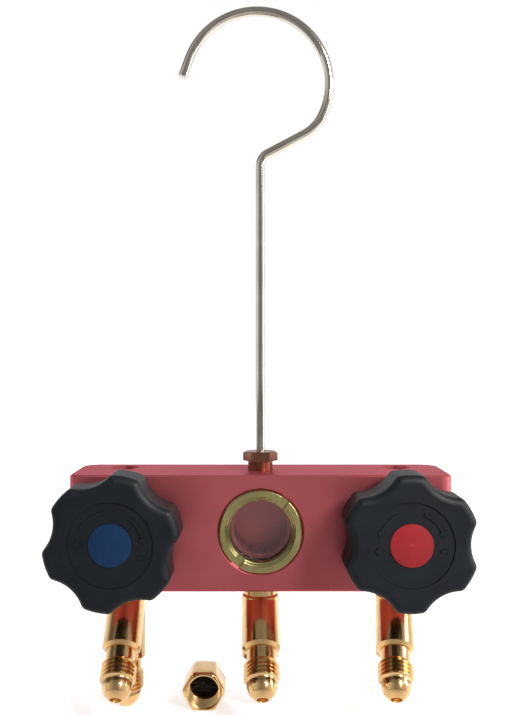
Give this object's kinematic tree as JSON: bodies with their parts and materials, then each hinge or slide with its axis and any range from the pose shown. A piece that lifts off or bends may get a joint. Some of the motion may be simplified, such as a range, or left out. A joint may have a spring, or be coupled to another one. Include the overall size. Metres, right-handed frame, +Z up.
{
  "type": "instrument valve manifold",
  "caption": "Refrigeration gauge manifold: red aluminium block with sight glass, blue and red valve knobs, sloping brass flare ports and a swivelling wire hook, with a loose flare cap.",
  "frame": {"origin": "inside the hook's crown, where the rail that carries it bears, on the axis of the shank", "axes": "+Z up along the hook's shank, -Y the front with the knobs, +X to the right seen from the front"},
  "size_m": [0.1286, 0.0483, 0.2323],
  "materials": {
    "red_anodised": "matt anodised",
    "brass": "turned and bright",
    "ring_brass": "dull yellow, fine turned lines",
    "nut_brass": "darkened",
    "chromed_wire": "bright plated wire",
    "black_plastic": "moulded, fine matt grain",
    "blue_plastic": "moulded",
    "red_plastic": "moulded",
    "lens_glass": "clear",
    "rubber": "plain",
    "steel": "plain",
    "white_plastic": "fluoropolymer disc",
    "fibre": "pressed fibre"
  },
  "bodies": {
    "manifold": {"body_block": "red_anodised", "gallery_plug_left": "steel", "gallery_plug_right": "steel", "sight_ring": "ring_brass", "sight_lens": "lens_glass", "sight_seal": "rubber", "hook_nut": "nut_brass", "port_fitting_left": "brass", "port_fitting_centre": "brass", "port_fitting_right": "brass", "port_washer_left": "fibre", "port_washer_centre": "fibre", "port_washer_right": "fibre", "bonnet_left": "brass", "bonnet_right": "brass", "bonnet_washer_left": "fibre", "bonnet_washer_right": "fibre", "flare_cap": "brass", "flare_cap_seal": "rubber"},
    "hanger": {"hook": "chromed_wire"},
    "seat_left": {"seat_holder_left": "brass", "seat_disc_left": "white_plastic"},
    "valve_left": {"stem_left": "brass", "stem_ring_left": "rubber", "knob_left": "black_plastic", "knob_screw_left": "steel", "knob_cap_left": "blue_plastic"},
    "seat_right": {"seat_holder_right": "brass", "seat_disc_right": "white_plastic"},
    "valve_right": {"stem_right": "brass", "stem_ring_right": "rubber", "knob_right": "black_plastic", "knob_screw_right": "steel", "knob_cap_right": "red_plastic"}
  },
  "joints": [
    {"name": "hook_swivel", "type": "hinge", "parent": "manifold", "child": "hanger", "pos_m": [0, 0, -0.15105], "axis": [0, 0, 1], "continuous": true},
    {"name": "seat_lift_left", "type": "slide", "parent": "manifold", "child": "seat_left", "axis": [0, -1, 0], "range_m": [0, 0.003]},
    {"name": "knob_turn_left", "type": "hinge", "parent": "seat_left", "child": "valve_left", "pos_m": [-0.0444, 0, -0.16905], "axis": [0, -1, 0], "range_deg": [0, 720]},
    {"name": "seat_lift_right", "type": "slide", "parent": "manifold", "child": "seat_right", "axis": [0, -1, 0], "range_m": [0, 0.003]},
    {"name": "knob_turn_right", "type": "hinge", "parent": "seat_right", "child": "valve_right", "pos_m": [0.0444, 0, -0.16905], "axis": [0, -1, 0], "range_deg": [0, 720]}
  ],
  "couplings": [
    {"joint": "seat_lift_left", "follows": "knob_turn_left", "m_per_rad": 0.00023873},
    {"joint": "seat_lift_right", "follows": "knob_turn_right", "m_per_rad": 0.00023873}
  ]
}
